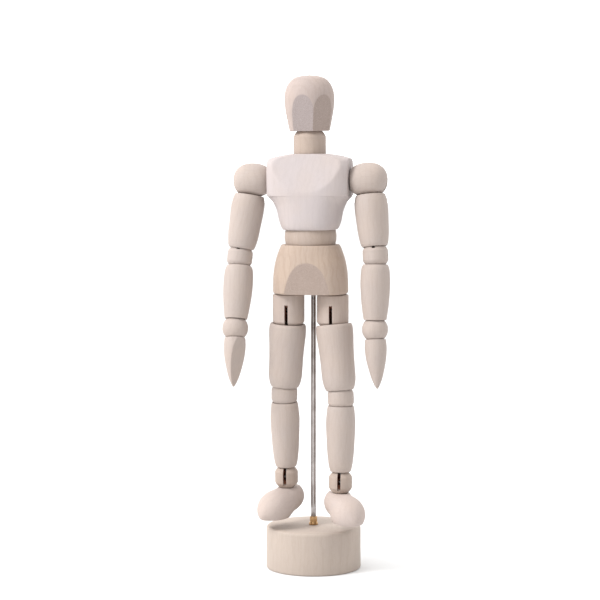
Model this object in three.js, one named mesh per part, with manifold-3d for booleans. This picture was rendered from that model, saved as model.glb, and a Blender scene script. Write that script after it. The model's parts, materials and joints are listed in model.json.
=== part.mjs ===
// Jointed wooden artist mannequin on a round stand. Millimetres, +Z up, the figure's front towards -Y.
// Origin: centre of the underside of the base. The support rod stands on the Z axis.
//
// How the joints work: every joint piece is a wooden bead whose spherical ends turn in matching hollow seats
// in its neighbours. A coil spring or a headed peg on each limb's centre line pulls the seats onto the bead.
// A bead has a slot on the side that bends, where the wire sweeps, and a plain bore on the side that only turns.
import * as THREE from 'three';
import { mergeVertices } from 'three/addons/utils/BufferGeometryUtils.js';
import Module from 'manifold-3d';

const wasm = await Module();
wasm.setup();

// ---- driving dimensions -------------------------------------------------------------------------------
const RUNNING_GAP = 0.22;          // between a bead and the seat it turns in
const FACE_GAP = 0.25;             // between two flat wooden faces
const TURNED_SIDES = 16;           // sides of a turned wooden piece
const ARC_STEP = 18;               // degrees between the points of a seat or bead arc

const BASE = { radius: 13.5, height: 12.2, edge: 0.7, bottomEdge: 0.3 };
const ROD = { radius: 0.75, seatDepth: 8, intoPelvis: 7 };
const FERRULE = { radius: 1.05, foot: 1.3, height: 2.4 };

const FIGURE_YAW = -9;             // the figure is turned on its rod, front towards -X
const ROD_BEHIND_BODY = 4;         // the rod enters the pelvis behind the body's centre line

const FIGURE_OFFSET = -0.2;        // the figure stands slightly to its right of the rod
const PELVIS_BOTTOM = 79.0;
const PELVIS_TOP = 92.75;
const WAIST_CENTRE = 95.0;
const CHEST_BOTTOM = 97.0;
const CHEST_TOP = 118.2;
const NECK_CENTRE = 121.1;
const HIP_HALF_SPAN = 6.3;
const HIP_DROP = 4.9;              // from the pelvis's underside to the hip bead's centre
const SHOULDER_HALF_SPAN = 16.75;
const SHOULDER_HEIGHT = 110.8;
const SHOULDER_FACE = 11.5;        // the chest's flat shoulder faces, from its centre plane

// lengths between joint centres: the turned limbs of the two sides differ slightly
const LENGTH = {
  right: { upperArm: 21.9, forearm: 20.2, thigh: 24.05, shin: 23.95 },
  left: { upperArm: 21.2, forearm: 20.6, thigh: 24.6, shin: 23.9 },
};

// beads: radius of the spherical ends and of the turned-down belt between them
const WAIST = { ball: 7.3, cut: 5.2 };
const NECK = { top: 4.92, bottom: 5.45, belt: 4.53 };
const SHOULDER = { ball: 5.25, belt: 4.85 };
const ELBOW = { ball: 3.79, belt: 3.55 };
const WRIST = { ball: 3.65, belt: 3.62 };
const HIP = { ball: 5.48, belt: 4.48 };
const KNEE = { ball: 3.92, belt: 3.68 };
const ANKLE = { ball: 3.61, belt: 3.28 };

// wires, pins and their clearances
const WIRE = 0.16;
const COIL = 0.95;
const BORE = 1.25;                 // bore of a limb, around its spring
const PEG_BORE = 0.5;
const HEAD = { radius: 0.68, near: 1.0, far: 1.35 };
const EYE = 0.62;                  // radius of a wire eye's centre line
const PIN = 0.35;
const PIN_HOLE = 0.45;
const CHAMBER = 0.95;              // hollow around a bead's centre
const SLOT = 0.9;                  // width of a bead's slot

// rest pose, degrees: each angle turns a limb relative to the one above it
const REST = {
  chest: { yaw: -2.5, roll: -0.5 },
  head: { yaw: 21 },
  right: {
    side: -1, raise: 8.2, armPitch: -7, elbowRoll: -6.6, elbowPitch: -5, wristRoll: -2.5, wristPitch: -2,
    palm: -42, legRoll: 3.3, legPitch: 2, kneeRoll: -4, kneePitch: 2, ankleRoll: 1.2, anklePitch: -1, toeOut: 24,
  },
  left: {
    side: 1, raise: 5.8, armPitch: -7, elbowRoll: -5.8, elbowPitch: 3, wristRoll: 2.8, wristPitch: -2,
    palm: 140, legRoll: 6, legPitch: -4, kneeRoll: -6, kneePitch: 3, ankleRoll: 0, anklePitch: 1, toeOut: 30,
  },
};
const TOE_DOWN = 15;

const WOOD = { chest: 0xf1e8e2, pelvis: 0xe6d2bb, body: 0xead9c6, limb: 0xeedfcf, base: 0xeddcc3 };
const STEEL = 0xb9b4b2;
const BRASS = 0xb08d62;

const rad = THREE.MathUtils.degToRad;

// ---- solids -------------------------------------------------------------------------------------------
function toSolid(geometry) {
  const bare = geometry.index ? geometry.toNonIndexed() : geometry.clone();
  bare.deleteAttribute('normal');
  bare.deleteAttribute('uv');
  const merged = mergeVertices(bare, 1e-4);
  return new wasm.Manifold(new wasm.Mesh({
    numProp: 3,
    vertProperties: new Float32Array(merged.attributes.position.array),
    triVerts: new Uint32Array(merged.index.array),
  }));
}

function toGeometry(solid) {
  const mesh = solid.getMesh();
  const geometry = new THREE.BufferGeometry();
  const positions = new Float32Array(mesh.numVert * 3);
  for (let i = 0; i < mesh.numVert; i += 1) {
    for (let axis = 0; axis < 3; axis += 1) {
      positions[3 * i + axis] = mesh.vertProperties[i * mesh.numProp + axis];
    }
  }
  geometry.setAttribute('position', new THREE.BufferAttribute(positions, 3));
  geometry.setIndex(new THREE.BufferAttribute(new Uint32Array(mesh.triVerts), 1));
  return geometry;
}

function carve(geometry, ...cutters) {
  let solid = toSolid(geometry);
  for (const cutter of cutters) {
    solid = solid.subtract(toSolid(cutter));
  }
  return toGeometry(solid);
}

function join(...geometries) {
  let solid = toSolid(geometries[0]);
  for (const geometry of geometries.slice(1)) {
    solid = solid.add(toSolid(geometry));
  }
  return toGeometry(solid);
}

// a piece turned about Z; the profile is a list of [radius, z] from its lowest point to its highest
function turned(profile, sides = TURNED_SIDES) {
  const points = profile.map(([r, z]) => new THREE.Vector2(Math.max(r, 0), z));
  return new THREE.LatheGeometry(points, sides).rotateX(Math.PI / 2);
}

// points of a circle about (0, centre) in the profile plane, between two angles from the equator
function arc(radius, fromDegrees, toDegrees, centre = 0) {
  const count = Math.max(2, Math.ceil(Math.abs(toDegrees - fromDegrees) / ARC_STEP));
  const points = [];
  for (let i = 0; i <= count; i += 1) {
    const angle = rad(fromDegrees + (toDegrees - fromDegrees) * i / count);
    points.push([radius * Math.cos(angle), centre + radius * Math.sin(angle)]);
  }
  return points;
}

const degreesAtRadius = (ball, r) => THREE.MathUtils.radToDeg(Math.acos(r / ball));

// a round bar along Z, or along X or Y, from one coordinate to the other
function bar(radius, from, to, axis = 'z', sides = 12) {
  const geometry = new THREE.CylinderGeometry(radius, radius, Math.abs(to - from), sides);
  if (axis === 'z') {
    geometry.rotateX(Math.PI / 2).translate(0, 0, (from + to) / 2);
  } else if (axis === 'x') {
    geometry.rotateZ(Math.PI / 2).translate((from + to) / 2, 0, 0);
  } else {
    geometry.translate(0, (from + to) / 2, 0);
  }
  return geometry;
}

// a slot for a sweeping wire: a slab in the YZ plane, from one direction to another.
// Directions are degrees from -Z (straight down) towards -Y (the front).
function slot(reach, from, to, width = SLOT) {
  const outline = new THREE.Shape();
  outline.moveTo(0, 0);
  const count = Math.ceil((to - from) / 30);
  for (let i = 0; i <= count; i += 1) {
    const angle = rad(from + (to - from) * i / count);
    outline.lineTo(-reach * Math.sin(angle), -reach * Math.cos(angle));
  }
  outline.closePath();
  const geometry = new THREE.ExtrudeGeometry(outline, { depth: width, bevelEnabled: false });
  return geometry.translate(0, 0, -width / 2).applyMatrix4(new THREE.Matrix4().set(
    0, 0, 1, 0,
    1, 0, 0, 0,
    0, 1, 0, 0,
    0, 0, 0, 1,
  ));
}

const chamber = () => bar(CHAMBER, -CHAMBER * 1.6, CHAMBER * 1.6, 'z', 8);

// a half-space cutter: everything beyond a plane at a distance along its normal
function beyond(normal, distance) {
  const size = 400;
  const geometry = new THREE.BoxGeometry(size, size, size).translate(0, 0, size / 2 + distance);
  const turn = new THREE.Quaternion().setFromUnitVectors(new THREE.Vector3(0, 0, 1), normal.clone().normalize());
  return geometry.applyQuaternion(turn);
}

// an oval turned shape: rings of a lathe pressed to a half-width along X and a half-depth along Y
function oval(rings, exponent) {
  const geometry = turned(rings.map(([width, , z]) => [width, z]), 28);
  const position = geometry.attributes.position;
  const outer = rings.filter((ring) => ring[0] > 0);
  for (let i = 0; i < position.count; i += 1) {
    const [x, y, z] = [position.getX(i), position.getY(i), position.getZ(i)];
    const radius = Math.hypot(x, y);
    if (radius > 1e-6) {
      const ring = outer.reduce((best, r) => (Math.abs(r[2] - z) < Math.abs(best[2] - z) ? r : best));
      const [c, s] = [x / radius, y / radius];
      const swell = (Math.abs(c) ** exponent + Math.abs(s) ** exponent) ** (-1 / exponent);
      position.setXY(i, c * swell * radius, s * swell * radius * ring[1] / ring[0]);
    }
  }
  return geometry;
}

// ---- limbs: turned wood with a seat at each end and a bore for the spring ---------------------------------
// The limb hangs from its upper joint's centre at z = 0 to its lower joint's centre at z = -length.
function limb({ length, upperBall, upperRim, lowerBall, lowerRim, outline }) {
  const upperSeat = upperBall + RUNNING_GAP;
  const lowerSeat = lowerBall + RUNNING_GAP;
  const upperMouth = THREE.MathUtils.radToDeg(Math.asin(upperRim / upperSeat));
  const lowerMouth = THREE.MathUtils.radToDeg(Math.asin(lowerRim / lowerSeat));
  const lower = arc(lowerSeat, degreesAtRadius(lowerSeat, BORE), lowerMouth, -length);
  const upper = arc(upperSeat, -upperMouth, -degreesAtRadius(upperSeat, BORE));
  return turned([...lower, ...outline, ...upper, lower[0]]);
}

function spring({ length, upper, lower, upperClear, lowerClear }) {
  const parts = [bar(COIL, -length + lowerClear, -upperClear, 'z', 8)];
  const startOf = { head: HEAD.near, eye: EYE - WIRE / 2, ball: HEAD.radius / 2 };
  const upperEnd = -startOf[upper];
  const lowerEnd = -length + startOf[lower];
  parts.push(bar(WIRE, lowerEnd, upperEnd, 'z', 5));
  const ends = [[upper, 0, -1], [lower, -length, 1]];
  for (const [kind, z, way] of ends) {
    if (kind === 'head') {
      const [near, far] = [z + way * HEAD.near, z + way * HEAD.far];
      parts.push(bar(HEAD.radius, Math.min(near, far), Math.max(near, far), 'z', 8));
    } else if (kind === 'eye') {
      parts.push(new THREE.TorusGeometry(EYE, WIRE, 4, 8).rotateY(Math.PI / 2).translate(0, 0, z));
    } else {
      parts.push(new THREE.SphereGeometry(HEAD.radius, 8, 4).translate(0, 0, z));
    }
  }
  return join(...parts);
}

// a peg with a head inside a bead: the head is near the bead's centre, the shank runs away from it along -Z
function peg(length) {
  return join(
    bar(PEG_BORE - 0.15, -length, -HEAD.near - 0.1, 'z', 8),
    bar(HEAD.radius, -HEAD.far, -HEAD.near, 'z', 8),
  );
}

// a link whose ball end sits at a bead's centre and whose shank runs away from it along -Z
function link(length) {
  return join(new THREE.SphereGeometry(HEAD.radius, 8, 4), bar(PEG_BORE - 0.15, -length, -0.2, 'z', 8));
}

function beadBody({ ball, belt }) {
  const edge = degreesAtRadius(ball, belt);
  return turned([...arc(ball, -90, -edge), ...arc(ball, edge, 90)]);
}

// ---- the wooden pieces --------------------------------------------------------------------------------
function baseDisc() {
  const { radius, height, edge, bottomEdge } = BASE;
  const disc = turned([
    [0, 0], [radius - bottomEdge, 0], [radius, bottomEdge], [radius, height - edge],
    [radius - edge * 0.3, height - edge * 0.3], [radius - edge, height], [0, height],
  ], 32);
  return carve(disc, bar(ROD.radius + 0.05, height - ROD.seatDepth, height + 1, 'z', 16));
}

function ferrule() {
  const inner = ROD.radius + 0.05;
  const { radius, foot, height } = FERRULE;
  return turned([
    [inner, 0], [foot, 0], [foot, 0.35], [radius, 0.9], [radius, height - 0.15],
    [radius - 0.12, height], [inner, height], [inner, 0],
  ], 16);
}

function rod(from, to) {
  return turned([
    [0, from], [ROD.radius, from], [ROD.radius, to - 0.3], [ROD.radius - 0.3, to], [0, to],
  ], 16);
}

function pelvisBlock() {
  const waistSeat = WAIST.ball + RUNNING_GAP;
  const block = oval([
    [0, 0, PELVIS_BOTTOM], [10.25, 8.1, PELVIS_BOTTOM], [10.55, 8.4, PELVIS_BOTTOM + 0.35],
    [10.6, 8.4, PELVIS_BOTTOM + 1.5], [10.4, 8.3, PELVIS_BOTTOM + 5.9], [9.75, 8.0, PELVIS_BOTTOM + 9.5],
    [8.85, 7.8, PELVIS_BOTTOM + 12.2], [8.3, 7.65, PELVIS_TOP - 0.3], [8.0, 7.5, PELVIS_TOP], [0, 0, PELVIS_TOP],
  ], 2.3);
  const facet = new THREE.Vector3(0, -1, -0.112);
  const facetOffset = 7.05 - 0.112 * PELVIS_BOTTOM;
  const seat = new THREE.SphereGeometry(waistSeat, 20, 10).translate(0, 0, WAIST_CENTRE);
  const cutters = [
    beyond(facet, facetOffset / facet.length()),
    seat,
    bar(PEG_BORE, PELVIS_BOTTOM + 3, WAIST_CENTRE, 'z', 8),
    bar(ROD.radius + 0.1, PELVIS_BOTTOM - 1, PELVIS_BOTTOM + ROD.intoPelvis + 0.5, 'z', 16)
      .translate(-FIGURE_OFFSET, ROD_BEHIND_BODY, 0),
  ];
  for (const side of [-1, 1]) {
    cutters.push(bar(PEG_BORE, PELVIS_BOTTOM - 1, PELVIS_BOTTOM + 6.5, 'z', 8).translate(side * HIP_HALF_SPAN, 0, 0));
  }
  return carve(block, ...cutters);
}

function waistBead() {
  const top = degreesAtRadius(WAIST.ball, Math.sqrt(WAIST.ball ** 2 - WAIST.cut ** 2));
  const body = turned([[0, -WAIST.cut], ...arc(WAIST.ball, -top, top), [0, WAIST.cut]], 20);
  return carve(body, chamber(), slot(WAIST.ball + 1, 140, 220), bar(PEG_BORE, -WAIST.ball, 0, 'z', 8));
}

function chestBlock() {
  const waistSeat = WAIST.ball + RUNNING_GAP;
  const neckSeat = NECK.bottom + RUNNING_GAP;
  const block = oval([
    [0, 0, CHEST_BOTTOM], [7.6, 7.45, CHEST_BOTTOM], [7.95, 7.8, CHEST_BOTTOM + 0.5],
    [8.3, 8.0, CHEST_BOTTOM + 1.3], [8.75, 8.15, CHEST_BOTTOM + 2.8], [9.3, 8.25, CHEST_BOTTOM + 5.3],
    [10.3, 8.3, CHEST_BOTTOM + 7.5], [12.0, 8.35, CHEST_BOTTOM + 9.3], [13.1, 8.35, CHEST_BOTTOM + 10.2],
    [13.3, 8.25, CHEST_BOTTOM + 16.5], [12.9, 7.9, CHEST_BOTTOM + 18.6], [12.0, 7.5, CHEST_BOTTOM + 19.6],
    [9.4, 6.8, CHEST_TOP - 0.7], [5.3, 5.2, CHEST_TOP], [0, 0, CHEST_TOP],
  ], 2.35);
  const facet = new THREE.Vector3(0, -1, 0.3);
  const facetOffset = 8.3 + 0.3 * (CHEST_BOTTOM + 10.6);
  const cutters = [
    beyond(facet, facetOffset / facet.length()),
    new THREE.SphereGeometry(waistSeat, 20, 10).translate(0, 0, WAIST_CENTRE),
    new THREE.SphereGeometry(neckSeat, 20, 10).translate(0, 0, NECK_CENTRE),
    bar(PEG_BORE, CHEST_TOP - 12.5, NECK_CENTRE, 'z', 8),
    bar(PEG_BORE, WAIST_CENTRE, WAIST_CENTRE + 13, 'z', 8),
    bar(BORE, -20, 20, 'x', 10).translate(0, 0, SHOULDER_HEIGHT),
  ];
  for (const side of [-1, 1]) {
    cutters.push(beyond(new THREE.Vector3(side, 0, 0), SHOULDER_FACE));
  }
  return carve(block, ...cutters);
}

function neckBead() {
  const lowEdge = degreesAtRadius(NECK.bottom, NECK.belt);
  const topEdge = degreesAtRadius(NECK.top, NECK.belt);
  const body = turned([...arc(NECK.bottom, -90, -lowEdge), ...arc(NECK.top, topEdge, 90)]);
  return carve(body, chamber(), slot(NECK.top + 1, 145, 215).rotateZ(rad(REST.head.yaw)),
    bar(PEG_BORE, -NECK.bottom - 1, 0, 'z', 8));
}

// the head hangs on the neck bead's centre at z = 0
function headEgg() {
  const seat = NECK.top + RUNNING_GAP;
  const rim = 3.42;
  const mouth = THREE.MathUtils.radToDeg(Math.asin(rim / seat));
  const egg = turned([
    ...arc(seat, 90, mouth), [5.45, rim], [5.7, rim + 0.25], [6.25, 6.5], [6.75, 9.2], [7.0, 12.0], [6.9, 13.8],
    [6.5, 15.4], [5.7, 16.9], [4.4, 18.1], [2.4, 18.75], [0, 19.0],
  ], 28);
  const cutters = [bar(PEG_BORE, 0, 12, 'z', 8)];
  for (const side of [-1, 1]) {
    const facet = new THREE.Vector3(side * Math.sin(rad(27)), -Math.cos(rad(27)), -0.236);
    const facetOffset = 4.75 - 0.236 * 4.2;
    cutters.push(beyond(facet, facetOffset / facet.length()));
  }
  return carve(egg, ...cutters);
}

// side is -1 for the figure's right and +1 for its left: the flat end of the bead points to the chest
function shoulderBead(side) {
  const inner = SHOULDER_HALF_SPAN - SHOULDER_FACE - FACE_GAP;
  const edge = degreesAtRadius(SHOULDER.ball, SHOULDER.belt);
  const { ball, belt } = SHOULDER;
  const profile = [
    [0, -inner], [3.2, -inner], [3.7, -inner + 0.45], ...arc(ball, -43, -edge), ...arc(ball, edge, 90),
  ];
  const body = turned(profile).rotateY(side * Math.PI / 2);
  const sweep = slot(ball + 1, -14, 96).rotateZ(side * Math.PI / 2);
  return carve(body, chamber(), chamber().rotateY(Math.PI / 2), sweep,
    bar(PEG_BORE, 0, -side * (inner + 1), 'x', 8));
}

function elbowBead() {
  return carve(beadBody(ELBOW), chamber(), slot(ELBOW.ball + 1, 122, 215),
    bar(PEG_BORE, -ELBOW.ball - 1, 0, 'z', 8), bar(PIN_HOLE, -5, 5, 'x', 8));
}

function wristBead() {
  return carve(beadBody(WRIST), chamber(), slot(WRIST.ball + 1, -40, 40), bar(PEG_BORE, 0, WRIST.ball + 1, 'z', 8));
}

// the slot and pin lean with the thigh; the flat top stays against the pelvis
function hipBead(lean) {
  const top = HIP_DROP - FACE_GAP;
  const edge = degreesAtRadius(HIP.ball, HIP.belt);
  const body = turned([
    ...arc(HIP.ball, -90, -edge), [HIP.belt, top - 0.3], [HIP.belt - 0.3, top], [0, top],
  ]);
  return carve(body, chamber(), slot(HIP.ball + 1, -35, 110).rotateY(lean), bar(PEG_BORE, 0, top + 1, 'z', 8),
    bar(PIN_HOLE, -6, 6, 'x', 8).rotateY(lean));
}

function kneeBead() {
  return carve(beadBody(KNEE), chamber(), slot(KNEE.ball + 1, -86, 14), bar(PEG_BORE, 0, KNEE.ball + 1, 'z', 8),
    bar(PIN_HOLE, -5, 5, 'x', 8));
}

function ankleBead() {
  return carve(beadBody(ANKLE), chamber(), slot(ANKLE.ball + 1, 54, 215), bar(PEG_BORE, -ANKLE.ball - 1, 0, 'z', 8),
    bar(PIN_HOLE, -5, 5, 'x', 8));
}

const upperArm = (length) => limb({
  length, upperBall: SHOULDER.ball, upperRim: 4.2, lowerBall: ELBOW.ball, lowerRim: 2.46,
  outline: [
    [3.3, -length + 2.46], [3.58, -length + 2.75], [3.9, -length + 3.6], [4.3, -length + 6.2], [4.47, -12.4],
    [4.65, -9.2], [4.65, -7.2], [4.52, -5.6], [4.1, -4.2],
  ],
});

const forearm = (length) => limb({
  length, upperBall: ELBOW.ball, upperRim: 2.5, lowerBall: WRIST.ball, lowerRim: 2.7,
  outline: [
    [3.05, -length + 2.7], [3.25, -length + 3.0], [3.75, -length + 6.5], [4.05, -10.5], [4.15, -7.4],
    [4.02, -4.6], [3.75, -3.2], [3.35, -2.5],
  ],
});

const thigh = (length) => limb({
  length, upperBall: HIP.ball, upperRim: 3.82, lowerBall: KNEE.ball, lowerRim: 2.15,
  outline: [
    [3.72, -length + 2.15], [4.0, -length + 2.5], [4.4, -length + 3.6], [4.72, -length + 5.6], [4.78, -15.5],
    [4.85, -12.7], [5.0, -9.9], [5.2, -7.1], [5.22, -5.4], [5.12, -4.4], [4.85, -3.82],
  ],
});

const shin = (length) => limb({
  length, upperBall: KNEE.ball, upperRim: 2.25, lowerBall: ANKLE.ball, lowerRim: 3.0,
  outline: [
    [2.7, -length + 3.0], [2.95, -length + 3.3], [3.3, -length + 4.6], [3.58, -length + 6.6], [3.8, -15.0],
    [3.98, -11.6], [4.12, -8.6], [4.14, -6.6], [3.98, -4.4], [3.8, -2.9], [3.6, -2.25],
  ],
});

// the hand hangs from the wrist bead's centre: a turned point with a flat pared on the palm side (+X)
function hand() {
  const seat = WRIST.ball + RUNNING_GAP;
  const rim = 2.75;
  const mouth = THREE.MathUtils.radToDeg(Math.asin(rim / seat));
  const body = turned([
    [0, -16.6], [0.35, -16.3], [0.95, -15.2], [1.6, -13.5], [2.2, -11.2], [2.72, -8.8], [3.0, -6.6], [3.08, -5.0],
    [3.0, -3.6], [2.9, -rim], ...arc(seat, -mouth, -90),
  ]);
  const palm = new THREE.Vector3(1, 0, -0.2);
  return carve(body, beyond(palm, 3.4 / palm.length()), bar(PEG_BORE, -7.5, 0, 'z', 8));
}

// the foot hangs from the ankle bead's centre: a turned form lying along Y, its toe down, with a narrower heel,
// a flat under the sole and a flat for the ankle at the top
function foot() {
  const platform = 3.05;
  const axisDrop = platform + 3.45;
  const soleDrop = 4.2;
  const egg = turned([
    [0, -5.6], [1.6, -5.4], [2.9, -4.7], [3.75, -3.3], [4.1, -1.6], [4.1, 0.2], [4.2, 1.8], [4.5, 3.4], [4.75, 5.0],
    [4.72, 6.6], [4.35, 8.2], [3.5, 9.8], [2.3, 11.1], [1.0, 12.0], [0, 12.3],
  ], 24).rotateX(Math.PI / 2).rotateX(rad(TOE_DOWN)).translate(0, 0, -axisDrop);
  const seat = new THREE.SphereGeometry(ANKLE.ball + RUNNING_GAP, 20, 10);
  const platformBlock = new THREE.BoxGeometry(20, 14, 10).translate(0, 2.6, -platform + 5);
  return carve(egg, seat, platformBlock,
    beyond(new THREE.Vector3(0, 0, -1), axisDrop + soleDrop), bar(PEG_BORE, -7.6, 0, 'z', 8));
}

// ---- assembly -----------------------------------------------------------------------------------------
const finishes = {
  chest: { color: WOOD.chest, roughness: 0.75 },
  pelvis: { color: WOOD.pelvis, roughness: 0.7 },
  body: { color: WOOD.body, roughness: 0.72 },
  limb: { color: WOOD.limb, roughness: 0.72 },
  base: { color: WOOD.base, roughness: 0.7 },
  steel: { color: STEEL, roughness: 0.3, metalness: 1 },
  brass: { color: BRASS, roughness: 0.35, metalness: 1 },
};

function add(parent, name, geometry, finish) {
  const mesh = new THREE.Mesh(geometry, new THREE.MeshStandardMaterial(finishes[finish]));
  mesh.name = name;
  parent.add(mesh);
  return mesh;
}

// a group at a joint centre, turned by roll about Y, pitch about X and yaw about Z (degrees)
function joint(parent, name, position, { roll = 0, pitch = 0, yaw = 0 } = {}) {
  const group = new THREE.Group();
  group.name = name;
  group.position.set(...position);
  group.rotation.set(rad(pitch), rad(roll), rad(yaw), 'YXZ');
  parent.add(group);
  return group;
}

// a bead shares the bend of its joint with its neighbours: its own group turns half the angle,
// and the group of the next limb the other half
function beadJoint(parent, name, z, roll, pitch) {
  const bead = joint(parent, name, [0, 0, z], { roll: roll / 2, pitch: pitch / 2 });
  const next = joint(bead, `${name}_next`, [0, 0, 0], { roll: roll / 2, pitch: pitch / 2 });
  return [bead, next];
}

function buildArm(chest, sideName) {
  const pose = REST[sideName];
  const length = LENGTH[sideName];
  const { side } = pose;
  const shoulder = joint(chest, `${sideName}_shoulder`, [side * SHOULDER_HALF_SPAN, 0, SHOULDER_HEIGHT],
    { pitch: pose.armPitch });
  add(shoulder, `${sideName}_shoulder`, shoulderBead(side), 'limb');
  const arm = joint(shoulder, `${sideName}_arm`, [0, 0, 0], { roll: -side * pose.raise });
  add(arm, `${sideName}_upper_arm`, upperArm(length.upperArm), 'limb');
  add(arm, `${sideName}_arm_spring`, spring({
    length: length.upperArm, upper: 'ball', lower: 'eye', upperClear: 6.4, lowerClear: 5.2,
  }), 'steel');
  const [elbow, lowerArm] = beadJoint(arm, `${sideName}_elbow`, -length.upperArm, -side * pose.elbowRoll,
    pose.elbowPitch);
  add(elbow, `${sideName}_elbow`, elbowBead(), 'limb');
  add(elbow, `${sideName}_elbow_pin`, bar(PIN, -3.3, 3.3, 'x', 8), 'steel');
  add(lowerArm, `${sideName}_forearm`, forearm(length.forearm), 'limb');
  add(lowerArm, `${sideName}_forearm_spring`, spring({
    length: length.forearm, upper: 'head', lower: 'head', upperClear: 5.2, lowerClear: 5.0,
  }), 'steel');
  const [wrist, handTurn] = beadJoint(lowerArm, `${sideName}_wrist`, -length.forearm, -side * pose.wristRoll,
    pose.wristPitch);
  add(wrist, `${sideName}_wrist`, wristBead(), 'limb');
  const palm = joint(handTurn, `${sideName}_palm`, [0, 0, 0], { yaw: pose.palm });
  add(palm, `${sideName}_hand`, hand(), 'limb');
  add(handTurn, `${sideName}_hand_link`, link(7.2), 'steel');
}

function buildLeg(pelvis, sideName) {
  const pose = REST[sideName];
  const length = LENGTH[sideName];
  const { side } = pose;
  const hip = joint(pelvis, `${sideName}_hip`, [side * HIP_HALF_SPAN, 0, PELVIS_BOTTOM - HIP_DROP]);
  const lean = rad(-side * pose.legRoll);
  add(hip, `${sideName}_hip`, hipBead(lean), 'body');
  add(hip, `${sideName}_hip_pin`, bar(PIN, -4.2, 4.2, 'x', 8).rotateY(lean), 'steel');
  const hipPeg = joint(hip, `${sideName}_hip_peg_frame`, [0, 0, 0], { pitch: 180 });
  add(hipPeg, `${sideName}_hip_peg`, peg(10.4), 'steel');
  const leg = joint(hip, `${sideName}_leg`, [0, 0, 0], { roll: -side * pose.legRoll, pitch: pose.legPitch });
  add(leg, `${sideName}_thigh`, thigh(length.thigh), 'limb');
  add(leg, `${sideName}_thigh_spring`, spring({
    length: length.thigh, upper: 'eye', lower: 'head', upperClear: 6.9, lowerClear: 5.4,
  }), 'steel');
  const [knee, lowerLeg] = beadJoint(leg, `${sideName}_knee`, -length.thigh, -side * pose.kneeRoll, pose.kneePitch);
  add(knee, `${sideName}_knee`, kneeBead(), 'limb');
  add(knee, `${sideName}_knee_pin`, bar(PIN, -3.4, 3.4, 'x', 8), 'steel');
  add(lowerLeg, `${sideName}_shin`, shin(length.shin), 'limb');
  add(lowerLeg, `${sideName}_shin_spring`, spring({
    length: length.shin, upper: 'eye', lower: 'eye', upperClear: 5.4, lowerClear: 5.1,
  }), 'steel');
  const [ankle, instep] = beadJoint(lowerLeg, `${sideName}_ankle`, -length.shin, -side * pose.ankleRoll,
    pose.anklePitch);
  add(ankle, `${sideName}_ankle`, ankleBead(), 'body');
  add(ankle, `${sideName}_ankle_pin`, bar(PIN, -3.0, 3.0, 'x', 8), 'steel');
  const toes = joint(instep, `${sideName}_toes`, [0, 0, 0], { yaw: side * pose.toeOut });
  add(toes, `${sideName}_foot`, foot(), 'limb');
  add(toes, `${sideName}_foot_peg`, peg(7.2), 'steel');
}

const mannequin = new THREE.Group();
mannequin.name = 'artist_mannequin';

add(mannequin, 'base', baseDisc(), 'base');
add(mannequin, 'support_rod',
  rod(BASE.height - ROD.seatDepth + 0.2, PELVIS_BOTTOM + ROD.intoPelvis), 'steel');
const rodFerrule = joint(mannequin, 'ferrule_frame', [0, 0, BASE.height + 0.05]);
add(rodFerrule, 'rod_ferrule', ferrule(), 'brass');

const figure = joint(mannequin, 'figure', [0, 0, 0], { yaw: FIGURE_YAW });
const pelvis = joint(figure, 'pelvis', [FIGURE_OFFSET, -ROD_BEHIND_BODY, 0]);
add(pelvis, 'pelvis', pelvisBlock(), 'pelvis');
const waist = joint(pelvis, 'waist', [0, 0, WAIST_CENTRE]);
add(waist, 'waist', waistBead(), 'body');
add(waist, 'waist_peg', peg(WAIST_CENTRE - PELVIS_BOTTOM - 4), 'steel');

const chestTurn = joint(waist, 'chest', [0, 0, 0], REST.chest);
const chest = joint(chestTurn, 'chest_frame', [0, 0, -WAIST_CENTRE]);
add(chest, 'chest', chestBlock(), 'chest');
const chestLink = joint(chestTurn, 'chest_link_frame', [0, 0, 0], { pitch: 180 });
add(chestLink, 'chest_link', link(12.5), 'steel');
const shoulderLine = joint(chest, 'shoulder_line', [-SHOULDER_HALF_SPAN, 0, SHOULDER_HEIGHT], { roll: -90 });
add(shoulderLine, 'shoulder_spring', spring({
  length: 2 * SHOULDER_HALF_SPAN, upper: 'head', lower: 'head', upperClear: 6.5, lowerClear: 6.5,
}), 'steel');
const neck = joint(chest, 'neck', [0, 0, NECK_CENTRE]);
add(neck, 'neck', neckBead(), 'body');
add(neck, 'neck_peg', peg(8.4), 'steel');
const head = joint(neck, 'head', [0, 0, 0], REST.head);
add(head, 'head', headEgg(), 'body');
const headLink = joint(head, 'head_link_frame', [0, 0, 0], { pitch: 180 });
add(headLink, 'head_link', link(11.5), 'steel');

for (const sideName of ['right', 'left']) {
  buildArm(chest, sideName);
  buildLeg(pelvis, sideName);
}

mannequin.updateMatrixWorld(true);
export default mannequin;
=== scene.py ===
"""Looks of the jointed wooden mannequin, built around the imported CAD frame. Metres, +Z up, the front faces -Y.

Every wooden piece is a finely turned mesh made in its own frame, which is worked out from the joints' centres and
axes. Lengths in the profiles are millimetres.
"""

import json
import math
import random

import bpy
import bmesh
from mathutils import Matrix, Vector


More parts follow.
